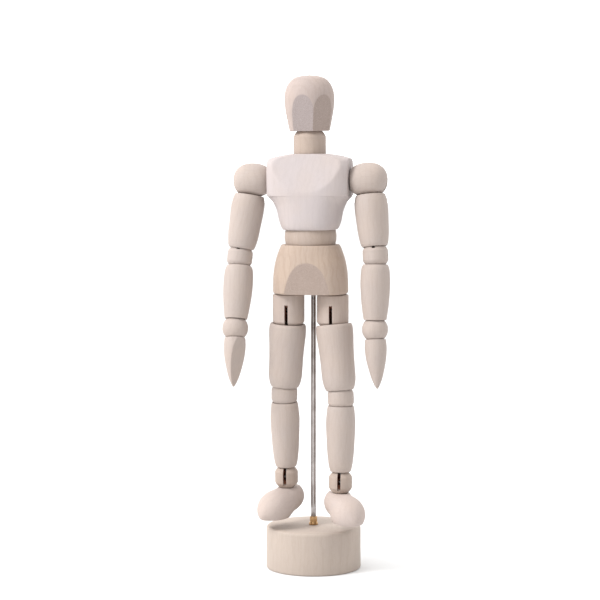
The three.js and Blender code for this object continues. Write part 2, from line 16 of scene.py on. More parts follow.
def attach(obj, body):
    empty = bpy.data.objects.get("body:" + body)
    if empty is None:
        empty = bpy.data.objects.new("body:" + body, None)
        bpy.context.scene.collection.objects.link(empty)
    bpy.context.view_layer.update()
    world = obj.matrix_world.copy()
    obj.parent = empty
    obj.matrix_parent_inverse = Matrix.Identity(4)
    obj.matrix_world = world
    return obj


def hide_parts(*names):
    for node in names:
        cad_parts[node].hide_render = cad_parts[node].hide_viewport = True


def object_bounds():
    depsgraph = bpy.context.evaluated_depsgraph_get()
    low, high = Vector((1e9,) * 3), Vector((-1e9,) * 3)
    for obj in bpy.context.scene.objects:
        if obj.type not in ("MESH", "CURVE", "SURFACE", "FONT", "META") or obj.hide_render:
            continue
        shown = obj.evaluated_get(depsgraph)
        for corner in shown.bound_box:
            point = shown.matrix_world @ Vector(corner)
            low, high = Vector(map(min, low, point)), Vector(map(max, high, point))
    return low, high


MM = 0.001
SEAM = 0.12           # visible gap between a bead and its seat
EDGE = 0.14           # rounding of a turned edge
SIDES = 96            # round a limb or a bead
FINE_SIDES = 224      # round a piece with pared flats
SLOT_WIDTH = 0.95
FLAT_SOFTNESS = 0.22  # how softly a pared flat meets the round

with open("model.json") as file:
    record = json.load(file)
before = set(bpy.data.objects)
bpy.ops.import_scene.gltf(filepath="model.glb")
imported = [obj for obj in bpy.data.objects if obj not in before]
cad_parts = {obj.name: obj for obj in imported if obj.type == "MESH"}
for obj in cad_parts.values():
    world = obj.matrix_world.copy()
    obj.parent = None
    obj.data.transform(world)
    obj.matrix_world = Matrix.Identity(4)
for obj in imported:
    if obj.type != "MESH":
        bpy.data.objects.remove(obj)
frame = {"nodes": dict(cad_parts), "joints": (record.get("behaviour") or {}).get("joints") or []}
cad_low, cad_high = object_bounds()
joints = {j["name"]: j for j in frame["joints"]}
scene = bpy.context.scene
scene.view_settings.view_transform = "Standard"
random.seed(4)


# ---- camera -----------------------------------------------------------------------------------------------
def make_camera():
    data = bpy.data.cameras.new("camera")
    camera = bpy.data.objects.new("camera", data)
    scene.collection.objects.link(camera)
    eye = Vector((-0.0001, -0.5700, 0.1240))
    aim = Vector((-0.0001, 0.0, 0.1240 - 0.5700 * math.tan(math.radians(4.74))))
    camera.location = eye
    camera.rotation_euler = (aim - eye).to_track_quat("-Z", "Y").to_euler()
    data.sensor_width = 36.0
    data.lens = 120.9
    data.shift_x = -0.022
    data.clip_start = 0.01
    data.clip_end = 20.0
    scene.camera = camera


make_camera()


# ---- profiles -----------------------------------------------------------------------------------------------
def arc(radius, start, end, centre=0.0, step=4.0):
    """Points of a circle about (0, centre), between two angles from the equator."""
    count = max(2, math.ceil(abs(end - start) / step))
    angles = [math.radians(start + (end - start) * i / count) for i in range(count + 1)]
    return [(radius * math.cos(a), centre + radius * math.sin(a)) for a in angles]


def flow(points, parts=8):
    """A smooth curve through the points."""
    p = [Vector(q) for q in points]
    p = [2 * p[0] - p[1], *p, 2 * p[-1] - p[-2]]
    out = []
    for i in range(1, len(p) - 2):
        a, b, c, d = p[i - 1:i + 3]
        for k in range(parts):
            t = k / parts
            bend = (2 * a - 5 * b + 4 * c - d) * t ** 2
            q = 0.5 * (2 * b + (c - a) * t + bend + (3 * b - a - 3 * c + d) * t ** 3)
            out.append(tuple(q))
    out.append(tuple(p[-2]))
    return out


def eased(points, radius=EDGE, closed=False, sharp=14.0):
    """Rounds the corners of a profile."""
    n = len(points)
    out = []
    for i, here in enumerate(points):
        if not closed and i in (0, n - 1):
            out.append(here)
            continue
        here, before, after = Vector(here), Vector(points[i - 1]), Vector(points[(i + 1) % n])
        back, ahead = before - here, after - here
        if back.length < 1e-6 or ahead.length < 1e-6:
            continue
        turn = math.degrees(math.pi - back.angle(ahead))
        if turn < sharp:
            out.append(tuple(here))
            continue
        a = here + back.normalized() * min(radius, 0.45 * back.length)
        b = here + ahead.normalized() * min(radius, 0.45 * ahead.length)
        for k in range(5):
            t = k / 4
            out.append(tuple((1 - t) ** 2 * a + 2 * t * (1 - t) * here + t ** 2 * b))
    return out


def divided(points, longest):
    """Adds points so that no step of the profile is longer than this."""
    out = [points[0]]
    for a, b in zip(points, points[1:]):
        a, b = Vector(a), Vector(b)
        count = max(1, math.ceil((b - a).length / longest))
        out += [tuple(a.lerp(b, k / count)) for k in range(1, count + 1)]
    return out


def angle_at(ball, radius):
    return math.degrees(math.acos(radius / ball))


def rim_angle(ball, rim):
    return math.degrees(math.asin(rim / ball))


# ---- meshes -----------------------------------------------------------------------------------------------
def revolved(name, profile, sides=SIDES, shape=None, closed=False):
    """A mesh turned about Z from a profile of (radius, z); shape(radius, angle, z, i) may press each point."""
    mesh = bpy.data.meshes.new(name)
    vertices, faces, rings = [], [], []
    for i, (r, z) in enumerate(profile):
        if r < 1e-5:
            rings.append([len(vertices)])
            vertices.append((0, 0, z * MM))
            continue
        ring = []
        for k in range(sides):
            a = 2 * math.pi * k / sides
            x, y = math.cos(a), math.sin(a)
            if shape:
                x, y = shape(r, a, z, i)
            else:
                x, y = r * x, r * y
            ring.append(len(vertices))
            vertices.append((x * MM, y * MM, z * MM))
        rings.append(ring)
    pairs = list(zip(rings, rings[1:]))
    if closed:
        pairs.append((rings[-1], rings[0]))
    for low, high in pairs:
        for k in range(sides):
            n = (k + 1) % sides
            if len(low) == 1 and len(high) == 1:
                break
            if len(low) == 1:
                faces.append((low[0], high[n], high[k]))
            elif len(high) == 1:
                faces.append((low[k], low[n], high[0]))
            else:
                faces.append((low[k], low[n], high[n], high[k]))
    mesh.from_pydata(vertices, [], faces)
    bm = bmesh.new()
    bm.from_mesh(mesh)
    bmesh.ops.remove_doubles(bm, verts=bm.verts, dist=1e-7)
    bmesh.ops.recalc_face_normals(bm, faces=bm.faces)
    bm.to_mesh(mesh)
    bm.free()
    obj = bpy.data.objects.new(name, mesh)
    scene.collection.objects.link(obj)
    return obj


def smooth(obj, sharp_degrees=38.0):
    bm = bmesh.new()
    bm.from_mesh(obj.data)
    for face in bm.faces:
        face.smooth = True
    for edge in bm.edges:
        if edge.is_manifold and edge.calc_face_angle(0.0) > math.radians(sharp_degrees):
            edge.smooth = False
    bm.to_mesh(obj.data)
    bm.free()


def box_cutter(low, high):
    bm = bmesh.new()
    bmesh.ops.create_cube(bm, size=1.0)
    low, high = Vector(low), Vector(high)
    for v in bm.verts:
        v.co = Vector(((low[i] + high[i]) / 2 + v.co[i] * (high[i] - low[i]) for i in range(3))) * MM
    return bm


def rod_cutter(radius, start, end, sides=32):
    start, end = Vector(start), Vector(end)
    bm = bmesh.new()
    bmesh.ops.create_cone(bm, cap_ends=True, segments=sides, radius1=radius * MM, radius2=radius * MM,
                          depth=(end - start).length * MM)
    turn = (end - start).to_track_quat("Z", "Y").to_matrix().to_4x4()
    bmesh.ops.transform(bm, matrix=Matrix.Translation((start + end) / 2 * MM) @ turn, verts=bm.verts)
    return bm


def slot_cutter(reach, start, end):
    """A slab in the YZ plane, fan-shaped from one direction to another: degrees from -Z towards -Y."""
    bm = bmesh.new()
    core = 0.9
    count = 24
    outline = []
    for i in range(count + 1):
        a = math.radians(start + (end - start) * i / count)
        outline.append((-reach * math.sin(a), -reach * math.cos(a)))
    back = math.radians(end - start)
    for i in range(1, count):
        a = math.radians(end) + (2 * math.pi - back) * i / count
        outline.append((-core * math.sin(a), -core * math.cos(a)))
    half = SLOT_WIDTH / 2
    rings = [[bm.verts.new((x * MM, y * MM, z * MM)) for y, z in outline] for x in (-half, half)]
    bm.faces.new(rings[0])
    bm.faces.new(rings[1][::-1])
    for k in range(len(outline)):
        n = (k + 1) % len(outline)
        bm.faces.new((rings[0][n], rings[0][k], rings[1][k], rings[1][n]))
    bmesh.ops.recalc_face_normals(bm, faces=bm.faces)
    return bm


def carve(obj, *cutters):
    """Cuts each closed mesh, given in the piece's own frame, out of the piece."""
    for bm in cutters:
        mesh = bpy.data.meshes.new("cutter")
        bm.to_mesh(mesh)
        bm.free()
        tool = bpy.data.objects.new("cutter", mesh)
        scene.collection.objects.link(tool)
        tool.matrix_world = obj.matrix_world.copy()
        cut = obj.modifiers.new("cut", "BOOLEAN")
        cut.operation = "DIFFERENCE"
        cut.solver = "EXACT"
        cut.object = tool
        result = bpy.data.meshes.new_from_object(obj.evaluated_get(bpy.context.evaluated_depsgraph_get()))
        obj.modifiers.clear()
        old, obj.data = obj.data, result
        bpy.data.meshes.remove(old)
        bpy.data.objects.remove(tool)
        bpy.data.meshes.remove(mesh)
    return obj


def softer(a, b, softness=FLAT_SOFTNESS):
    """The smaller of two lengths, with a soft change from one to the other."""
    h = max(softness - abs(a - b), 0.0) / softness
    return min(a, b) - h * h * softness / 4


def to_plane(normal, distance, angle, z):
    """How far a plane is from the Z axis, in one direction at one height."""
    facing = normal[0] * math.cos(angle) + normal[1] * math.sin(angle)
    if facing < 1e-4:
        return 1e3
    return (distance - normal[2] * z) / facing


def place(obj, matrix):
    obj.matrix_world = matrix
    return obj


# ---- frames from the joints -----------------------------------------------------------------------------------
def centre(name):
    return Vector(joints[name]["pos_m"])


def axis(name):
    return Vector(joints[name]["axis"])


def basis(origin, z, x):
    z = z.normalized()
    y = z.cross(x).normalized()
    x = y.cross(z)
    turn = Matrix((x, y, z)).transposed().to_4x4()
    return Matrix.Translation(origin) @ turn


def node_points(node):
    return [v.co.copy() for v in frame["nodes"][node].data.vertices]


def node_middle(node):
    points = node_points(node)
    return sum(points, Vector()) / len(points)


def toe_direction(side_name):
    """The level direction from the ankle to the tip of the toes."""
    ankle = centre(f"{side_name}_foot_turn")
    far = max(node_points(f"{side_name}_foot"), key=lambda p: (p - ankle).xy.length)
    return Vector((far.x - ankle.x, far.y - ankle.y, 0.0)).normalized()


class Side:
    """The frames of one side's pieces at rest."""

    def __init__(self, name, sign):
        shoulder, elbow, wrist = (centre(f"{name}_{j}") for j in ("shoulder_swing", "elbow_bend", "wrist_turn"))
        hip, knee, ankle = (centre(f"{name}_{j}") for j in ("leg_swing", "knee_bend", "ankle_bend"))
        swing, out = -axis(f"{name}_shoulder_swing"), -sign * axis(f"{name}_arm_raise")
        bend, leg = -axis(f"{name}_elbow_bend"), -axis(f"{name}_leg_swing")
        arm, lower_arm = (shoulder - elbow).normalized(), (elbow - wrist).normalized()
        hand = (wrist - node_middle(f"{name}_hand_link")).normalized()
        thigh, shin = (hip - knee).normalized(), (knee - ankle).normalized()
        foot = sign * axis(f"{name}_foot_turn")
        self.sign = sign
        self.name = name
        self.shoulder = basis(shoulder, swing.cross(out), swing)
        self.upper_arm = basis(shoulder, arm, swing)
        self.elbow = basis(elbow, arm + lower_arm, bend)
        self.forearm = basis(elbow, lower_arm, bend)
        self.wrist = basis(wrist, lower_arm + hand, bend)
        self.hand = basis(wrist, hand, -axis(f"{name}_hand_bend"))
        self.hip = basis(hip, Vector((0, 0, 1)), leg)
        self.thigh = basis(hip, thigh, leg)
        self.knee = basis(knee, thigh + shin, axis(f"{name}_knee_bend"))
        self.shin = basis(knee, shin, axis(f"{name}_knee_bend"))
        self.ankle = basis(ankle, shin + foot, -axis(f"{name}_ankle_bend"))
        self.foot = basis(ankle, foot, foot.cross(toe_direction(name)))
        self.arm_length, self.forearm_length = (shoulder - elbow).length / MM, (elbow - wrist).length / MM
        self.thigh_length, self.shin_length = (hip - knee).length / MM, (knee - ankle).length / MM


right, left = Side("right", -1), Side("left", 1)
across = (centre("left_leg_swing") - centre("right_leg_swing")).normalized()
waist_centre = centre("waist_turn")
neck_centre = centre("neck_turn")
body_foot = Vector((waist_centre.x, waist_centre.y, 0.0))
pelvis_frame = basis(body_foot, Vector((0, 0, 1)), across)
waist_frame = basis(waist_centre, Vector((0, 0, 1)), across)
chest_frame = basis(waist_centre, axis("neck_turn"), axis("chest_bend"))
neck_frame = basis(neck_centre, axis("neck_turn"), axis("head_nod"))


# ---- materials -----------------------------------------------------------------------------------------------
def shader(name):
    material = bpy.data.materials.new(name)
    material.use_nodes = True
    nodes = material.node_tree.nodes
    links = material.node_tree.links
    return material, nodes, links, nodes["Principled BSDF"]


def noise(nodes, links, vector, scale, detail=3.0, roughness=0.55, distortion=0.0):
    node = nodes.new("ShaderNodeTexNoise")
    node.inputs["Scale"].default_value = scale
    node.inputs["Detail"].default_value = detail
    node.inputs["Roughness"].default_value = roughness
    node.inputs["Distortion"].default_value = distortion
    links.new(vector, node.inputs["Vector"])
    return node.outputs["Fac"]


def stretched(nodes, links, vector, scale, offset=(0, 0, 0)):
    node = nodes.new("ShaderNodeMapping")
    node.inputs["Scale"].default_value = scale
    node.inputs["Location"].default_value = offset
    links.new(vector, node.inputs["Vector"])
    return node.outputs["Vector"]


def ranged(nodes, links, value, low, high, to_low=0.0, to_high=1.0):
    node = nodes.new("ShaderNodeMapRange")
    node.inputs["From Min"].default_value = low
    node.inputs["From Max"].default_value = high
    node.inputs["To Min"].default_value = to_low
    node.inputs["To Max"].default_value = to_high
    links.new(value, node.inputs["Value"])
    return node.outputs["Result"]


def mixed(nodes, links, factor, a, b, blend="MIX"):
    node = nodes.new("ShaderNodeMix")
    node.data_type = "RGBA"
    node.blend_type = blend
    sockets = {s.identifier: s for s in node.inputs}
    if isinstance(factor, float):
        sockets["Factor_Float"].default_value = factor
    else:
        links.new(factor, sockets["Factor_Float"])
    for key, value in (("A_Color", a), ("B_Color", b)):
        if isinstance(value, tuple):
            sockets[key].default_value = (*value, 1.0)
        else:
            links.new(value, sockets[key])
    return next(s for s in node.outputs if s.identifier == "Result_Color")


def scaled(nodes, links, value, factor):
    node = nodes.new("ShaderNodeMath")
    node.operation = "MULTIPLY"
    node.inputs[1].default_value = factor
    links.new(value, node.inputs[0])
    return node.outputs["Value"]


# base colour, grain colour and warm patch colour of each wood
WOODS = {
    "pale_wood": ((0.445, 0.395, 0.39), (0.36, 0.31, 0.30), (0.45, 0.39, 0.37)),
    "warm_wood": ((0.40, 0.315, 0.26), (0.29, 0.205, 0.155), (0.42, 0.325, 0.26)),
    "tan_wood": ((0.37, 0.30, 0.26), (0.28, 0.215, 0.175), (0.39, 0.31, 0.26)),
    "limb_wood": ((0.395, 0.335, 0.305), (0.32, 0.26, 0.23), (0.41, 0.34, 0.30)),
    "stand_wood": ((0.41, 0.345, 0.30), (0.33, 0.265, 0.22), (0.43, 0.36, 0.31)),
}
# painted shade: the dark colour given to the deep parts of slots and bores, in place of the shade that falls there
PAINTED_SLOT_SHADE = (0.28, 0.12, 0.075)
PARED = (0.345, 0.295, 0.29)
PARED_WARM = (0.36, 0.285, 0.25)


def own_frame(nodes, links):
    """Coordinates in the frame that a piece was turned in; finish_piece fills in the numbers."""
    node = nodes.new("ShaderNodeMapping")
    node.name = "own_frame"
    links.new(nodes.new("ShaderNodeTexCoord").outputs["Object"], node.inputs["Vector"])
    return node.outputs["Vector"]


def along_normal(nodes, links, vector, normal):
    node = nodes.new("ShaderNodeVectorMath")
    node.operation = "DOT_PRODUCT"
    node.inputs[1].default_value = normal
    links.new(vector, node.inputs[0])
    return node.outputs["Value"]


def wood(name, kind, grain=(1.0, 1.0, 0.07), rings=0.12, core=None, tint=(1.0, 1.0, 1.0), pared=()):
    """Bare sanded wood. grain stretches the fibres along one local axis; core is a radius from the piece's centre
    within which painted shade darkens the deep parts of slots and bores; pared lists the planes (normal, distance,
    colour) whose flats are rougher."""
    base, dark, warm = (tuple(c * t for c, t in zip(shade, tint)) for shade in WOODS[kind])
    material, nodes, links, out = shader(name)
    seed = tuple(random.uniform(-1.0, 1.0) for _ in range(3))
    where = own_frame(nodes, links)
    along = stretched(nodes, links, where, grain, seed)
    fibres = noise(nodes, links, along, 2600.0, 4.0, 0.6)
    bands = noise(nodes, links, along, 420.0, 2.0, 0.5, 0.6)
    patches = noise(nodes, links, stretched(nodes, links, where, (1, 1, 1), seed), 130.0, 2.0)
    grit = noise(nodes, links, where, 5200.0, 2.0, 0.7)

    wave = nodes.new("ShaderNodeTexWave")
    wave.wave_type = "RINGS"
    wave.rings_direction = "Z"
    wave.inputs["Scale"].default_value = 190.0
    wave.inputs["Distortion"].default_value = 5.0
    wave.inputs["Detail"].default_value = 2.0
    wave.inputs["Detail Scale"].default_value = 1.5
    lean = nodes.new("ShaderNodeMapping")
    lean.inputs["Location"].default_value = (random.uniform(0.004, 0.012), random.uniform(0.004, 0.012), 0.0)
    lean.inputs["Rotation"].default_value = (random.uniform(-0.12, 0.12), random.uniform(-0.12, 0.12), 0.0)
    links.new(where, lean.inputs["Vector"])
    links.new(lean.outputs["Vector"], wave.inputs["Vector"])

    colour = mixed(nodes, links, ranged(nodes, links, patches, 0.35, 0.7), base, warm)
    colour = mixed(nodes, links, ranged(nodes, links, wave.outputs["Fac"], 0.62, 1.0, 0.0, rings), colour, dark)
    colour = mixed(nodes, links, ranged(nodes, links, bands, 0.5, 0.75, 0.0, 0.12), colour, dark)
    colour = mixed(nodes, links, ranged(nodes, links, fibres, 0.48, 0.78, 0.0, 0.30), colour, dark)
    colour = mixed(nodes, links, ranged(nodes, links, grit, 0.55, 0.8, 0.0, 0.10), colour, (0.80, 0.74, 0.70))
    for normal, distance, shade in pared:
        height = along_normal(nodes, links, where, normal)
        flat = ranged(nodes, links, height, (distance - 0.05) * MM, (distance - 0.01) * MM, 0.0, 1.0)
        speckle = ranged(nodes, links, grit, 0.35, 0.65)
        coarse = mixed(nodes, links, speckle, tuple(0.66 * c for c in shade), shade)
        colour = mixed(nodes, links, scaled(nodes, links, flat, 0.75), colour, coarse)
    # painted shade: points nearer the piece's centre than the core radius, the deep parts of its slots and bores, are
    # coloured dark
    if core:
        length = nodes.new("ShaderNodeVectorMath")
        length.operation = "LENGTH"
        links.new(where, length.inputs[0])
        painted_depth_shade = ranged(nodes, links, length.outputs["Value"], core * 0.93 * MM, core * 0.80 * MM)
        colour = mixed(nodes, links, painted_depth_shade, colour, PAINTED_SLOT_SHADE)
    links.new(colour, out.inputs["Base Color"])
    links.new(ranged(nodes, links, fibres, 0.3, 0.8, 0.58, 0.74), out.inputs["Roughness"])
    out.inputs["Specular IOR Level"].default_value = 0.22
    bump = nodes.new("ShaderNodeBump")
    bump.inputs["Strength"].default_value = 0.14
    bump.inputs["Distance"].default_value = 0.00005
    links.new(fibres, bump.inputs["Height"])
    links.new(bump.outputs["Normal"], out.inputs["Normal"])
    return material


def metal(name, colour, dark, roughness, streak=(1.0, 1.0, 0.03), scale=3000.0):
    """Drawn or polished metal with fine marks along the wire and a little tarnish."""
    material, nodes, links, out = shader(name)
    where = nodes.new("ShaderNodeTexCoord").outputs["Object"]
    marks = noise(nodes, links, stretched(nodes, links, where, streak), scale, 3.0, 0.6)
    tarnish = noise(nodes, links, where, 260.0, 3.0)
    tone = mixed(nodes, links, ranged(nodes, links, tarnish, 0.42, 0.72, 0.0, 0.8), colour, dark)
    links.new(tone, out.inputs["Base Color"])
    links.new(ranged(nodes, links, marks, 0.3, 0.75, roughness * 0.7, roughness * 1.4), out.inputs["Roughness"])
    out.inputs["Metallic"].default_value = 1.0
    bump = nodes.new("ShaderNodeBump")
    bump.inputs["Strength"].default_value = 0.15
    bump.inputs["Distance"].default_value = 0.00002
    links.new(marks, bump.inputs["Height"])
    links.new(bump.outputs["Normal"], out.inputs["Normal"])
    return material


steel = metal("rod_steel", (0.40, 0.37, 0.36), (0.20, 0.17, 0.155), 0.16)
spring_steel = metal("spring_wire", (0.50, 0.49, 0.47), (0.30, 0.28, 0.26), 0.34)
brass = metal("ferrule_brass", (0.52, 0.33, 0.16), (0.30, 0.16, 0.07), 0.30)


def finish_piece(obj, material, body, node, sharp=38.0):
    """Gives a piece its material and its place in the assembly. Its frame goes into the mesh and the material, so
    that its bounding box is square to the world."""
    turned = obj.matrix_world.copy()
    obj.data.transform(turned)
    obj.matrix_world = Matrix.Identity(4)
    mapping = material.node_tree.nodes.get("own_frame")
    if mapping:
        back = turned.inverted()
        mapping.inputs["Location"].default_value = back.to_translation()
        mapping.inputs["Rotation"].default_value = back.to_euler()
    obj.data.materials.clear()
    obj.data.materials.append(material)
    smooth(obj, sharp)
    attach(obj, body)
    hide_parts(node)
    return obj


def wooden(obj, node, kind, grain=(1.0, 1.0, 0.07), sharp=38.0, body=None, **look):
    """Finishes a wooden piece. Unless another body is named, it rides on the one called after its node."""
    return finish_piece(obj, wood(f"{node}_wood", kind, grain, **look), body or node, node, sharp)


# ---- pieces: seats and limbs ------------------------------------------------------------------------------
BORE = 1.25
PEG_BORE = 0.5
PIN_HOLE = 0.45
CHAMBER = 0.95


def limb(name, matrix, length, upper, lower, outline):
    """A turned limb from the joint at z = 0 down to the joint at z = -length; each end is (ball, rim height)."""
    high, low = upper[0] + SEAM, lower[0] + SEAM
    low_seat = arc(low, angle_at(low, BORE), rim_angle(low, lower[1]), -length)
    high_seat = arc(high, -rim_angle(high, upper[1]), -angle_at(high, BORE))
    profile = eased(low_seat + flow(outline) + high_seat, closed=True)
    return place(revolved(name, profile, closed=True), matrix)


def bead_profile(ball, belt):
    edge = angle_at(ball, belt)
    return eased(arc(ball, -90, -edge) + arc(ball, edge, 90))


def chamber():
    return rod_cutter(CHAMBER, (0, 0, -CHAMBER * 1.6), (0, 0, CHAMBER * 1.6), 24)


def pin_hole(reach):
    along = Vector((reach, 0, 0))
    return rod_cutter(PIN_HOLE, -along, along, 20)


def wire(name, points, radius, sides=6):
    """A round wire along a line of points."""
    path = [Vector(p) for p in points]
    mesh = bpy.data.meshes.new(name)
    vertices, faces = [], []
    across = Vector((1, 0, 0))
    for i, here in enumerate(path):
        along = (path[min(i + 1, len(path) - 1)] - path[max(i - 1, 0)]).normalized()
        across = across - along * across.dot(along)
        if across.length < 1e-3:
            across = along.orthogonal()
        across.normalize()
        up = along.cross(across)
        for k in range(sides):
            a = 2 * math.pi * k / sides
            vertices.append((here + radius * (math.cos(a) * across + math.sin(a) * up)) * MM)
    for i in range(len(path) - 1):
        for k in range(sides):
            n = (k + 1) % sides
            faces.append((i * sides + k, i * sides + n, (i + 1) * sides + n, (i + 1) * sides + k))
    last = (len(path) - 1) * sides
    faces.append(tuple(range(sides))[::-1])
    faces.append(tuple(range(last, last + sides)))
    mesh.from_pydata(vertices, [], faces)
    obj = bpy.data.objects.new(name, mesh)
    scene.collection.objects.link(obj)
    return obj


WIRE = 0.16
COIL = 0.95
LOOP = 0.60
EYE_LOOP, END_LOOP, CENTRE_LOOP = "eye", "end", "centre"


def loop_points(kind, z, way):
    """The closed end of a spring wire: an eye round a cross pin, or a flat ring that can't pull through."""
    out = []
    for i in range(17):
        a = 2 * math.pi * i / 16
        if kind == EYE_LOOP:
            out.append((0.0, LOOP * math.sin(a), z + way * LOOP * math.cos(a)))
        else:
            lift = 1.15 if kind == END_LOOP else 0.0
            out.append((0.5 * math.sin(a), 0.5 * math.cos(a), z + way * lift))
    return out


def spring(name, matrix, length, upper, lower, upper_clear, lower_clear):
    """A close-wound tension spring whose straight ends run into the beads."""
    turn_height = 2.25 * WIRE
    top, bottom = -upper_clear, -length + lower_clear
    turns = round((top - bottom) / turn_height)
    steps = 14 * turns
    path = loop_points(upper, 0.0, -1) + [(0, 0, -1.7), (0, 0, top + 0.5)]
    for i in range(steps + 1):
        a = 2 * math.pi * i / 14
        path.append(((COIL - WIRE) * math.cos(a), (COIL - WIRE) * math.sin(a), top + (bottom - top) * i / steps))
    path += [(0, 0, bottom - 0.5), (0, 0, -length + 1.7)] + loop_points(lower, -length, 1)[::-1]
    return place(wire(name, path, WIRE), matrix)


# ---- pieces: head, trunk, hands and feet --------------------------------------------------------------------
def pressed(rings, planes, softness=FLAT_SOFTNESS):
    """Presses a turned ring (half-width, z, half-depth, exponent) to an oval and pares the planes off it."""
    def shape(r, a, z, i):
        depth, power = rings[i][2:]
        c, s = math.cos(a), math.sin(a)
        swell = (abs(c) ** power + abs(s) ** power) ** (-1 / power)
        x, y = c * swell * r, s * swell * depth
        reach, angle = math.hypot(x, y), math.atan2(y, x)
        for normal, distance in planes:
            reach = softer(reach, to_plane(normal, distance, angle, z), softness)
        return reach * math.cos(angle), reach * math.sin(angle)
    return shape


def carved_block(name, matrix, rings, planes, longest=0.2, sides=FINE_SIDES, softness=FLAT_SOFTNESS):
    rings = divided(eased(rings, sharp=20.0), longest)
    profile = [(r[0], r[1]) for r in rings]
    return place(revolved(name, profile, sides, pressed(rings, planes, softness)), matrix)


def round_seat(ball, start, end, centre_z):
    return [(r, z, r, 2.0) for r, z in arc(ball, start, end, centre_z)]


PELVIS_BOTTOM, PELVIS_TOP = 79.0, 92.75
WAIST_BALL, WAIST_CUT, WAIST_CENTRE = 7.3, 5.2, 95.0
SHOULDER_RISE = 15.8   # from the waist's centre
NECK_TOP, NECK_BOTTOM, NECK_BELT, NECK_CENTRE = 4.92, 5.45, 4.53, 26.1
HIP_SPAN, HIP_DROP = 6.3, 4.9
FIGURE_OFFSET, ROD_BEHIND_BODY = -0.2, 4.0
ARCH = ((0, -1, -0.112), 7.05 - 0.112 * PELVIS_BOTTOM)
CHEEK_TURN = math.radians(27)
CHEEKS = [((side * math.sin(CHEEK_TURN), -math.cos(CHEEK_TURN), -0.236), 4.75 - 0.236 * 4.2) for side in (-1, 1)]


def make_pelvis():
    rise = 2.3
    outer = [
        (10.55, 0.35, 8.4), (10.6, 1.5, 8.4), (10.4, 5.9, 8.3), (9.75, 9.5, 8.0), (8.85, 12.2, 7.8),
        (8.3, PELVIS_TOP - PELVIS_BOTTOM - 0.3, 7.65),
    ]
    outer = [(w, z + PELVIS_BOTTOM, d, rise) for w, z, d in outer]
    seat = WAIST_BALL + SEAM
    rim = WAIST_CENTRE - PELVIS_TOP
    rings = [(0, PELVIS_BOTTOM, 0, rise), (10.25, PELVIS_BOTTOM, 8.1, rise), *flow(outer)]
    rings += [(8.0, PELVIS_TOP, 7.5, rise), *round_seat(seat, -rim_angle(seat, rim), -90, WAIST_CENTRE)]
    obj = carved_block("pelvis_block", pelvis_frame, rings, [ARCH], softness=0.12)
    cutters = [
        rod_cutter(0.85, (-FIGURE_OFFSET, ROD_BEHIND_BODY, PELVIS_BOTTOM - 1),
                   (-FIGURE_OFFSET, ROD_BEHIND_BODY, PELVIS_BOTTOM + 7.5)),
        rod_cutter(PEG_BORE, (0, 0, PELVIS_BOTTOM + 3), (0, 0, WAIST_CENTRE), 20),
    ]
    for side in (-1, 1):
        cutters.append(rod_cutter(PEG_BORE, (side * HIP_SPAN, 0, PELVIS_BOTTOM - 1),
                                  (side * HIP_SPAN, 0, PELVIS_BOTTOM + 6.5), 20))
    return carve(obj, *cutters)


def make_chest():
    power = 2.35
    outer = [
        (7.95, 2.5, 7.8), (8.3, 3.3, 8.0), (8.75, 4.8, 8.15), (9.3, 7.3, 8.25), (10.3, 9.5, 8.3), (12.0, 11.3, 8.35),
        (13.1, 12.2, 8.35), (13.3, 18.5, 8.25), (12.9, 20.6, 7.9), (12.0, 21.6, 7.5), (9.4, 22.5, 6.8),
        (5.3, 23.2, 5.2),
    ]
    waist_seat, neck_seat = WAIST_BALL + SEAM, NECK_BOTTOM + SEAM
    rings = round_seat(waist_seat, 90, rim_angle(waist_seat, 2.0), 0.0)
    rings += [(7.6, 2.0, 7.45, power), *[(w, z, d, power) for w, z, d in flow(outer)]]
    rings += round_seat(neck_seat, -rim_angle(neck_seat, NECK_CENTRE - 23.2), -90, NECK_CENTRE)
    front = ((0, -1, 0.3), 8.3 + 0.3 * 12.6)
    sides = [((side, 0, 0), 11.5) for side in (-1, 1)]
    obj = carved_block("chest_block", chest_frame, rings, [front, *sides], softness=0.18)
    return carve(obj, rod_cutter(BORE, (-13, 0, SHOULDER_RISE), (13, 0, SHOULDER_RISE)),
                 rod_cutter(PEG_BORE, (0, 0, 10.5), (0, 0, NECK_CENTRE), 20),
                 rod_cutter(PEG_BORE, (0, 0, 0), (0, 0, 13), 20))


def make_head():
    seat, rim = NECK_TOP + SEAM, 3.42
    crown = [
        (5.7, rim + 0.25), (6.25, 6.5), (6.75, 9.2), (7.0, 12.0), (6.9, 13.8), (6.5, 15.4), (5.7, 16.9), (4.4, 18.1),
        (2.4, 18.75), (0, 19.0),
    ]
    rings = round_seat(seat, 90, rim_angle(seat, rim), 0.0) + [(5.45, rim, 5.45, 2.0)]
    rings += [(r, z, r, 2.0) for r, z in flow(crown)]
    obj = carved_block("head_egg", neck_frame, rings, CHEEKS, softness=0.12)
    return carve(obj, rod_cutter(PEG_BORE, (0, 0, 0), (0, 0, 12), 20))


def make_hand(side):
    seat, rim = WRIST[0] + SEAM, 2.75
    outline = flow([
        (0, -16.6), (0.35, -16.3), (0.95, -15.2), (1.6, -13.5), (2.2, -11.2), (2.72, -8.8), (3.0, -6.6), (3.08, -5.0),
        (3.0, -3.6), (2.9, -rim),
    ])
    profile = divided(eased(outline + arc(seat, -rim_angle(seat, rim), -90)), 0.2)
    rings = [(r, z, r, 2.0) for r, z in profile]
    palm = ((1, 0, -0.2), 3.4)
    obj = revolved(f"{side.name}_hand_turning", profile, 144, pressed(rings, [palm], 0.1))
    return place(carve(obj, rod_cutter(PEG_BORE, (0, 0, -7.5), (0, 0, 0), 20)), side.hand @ side.palm)


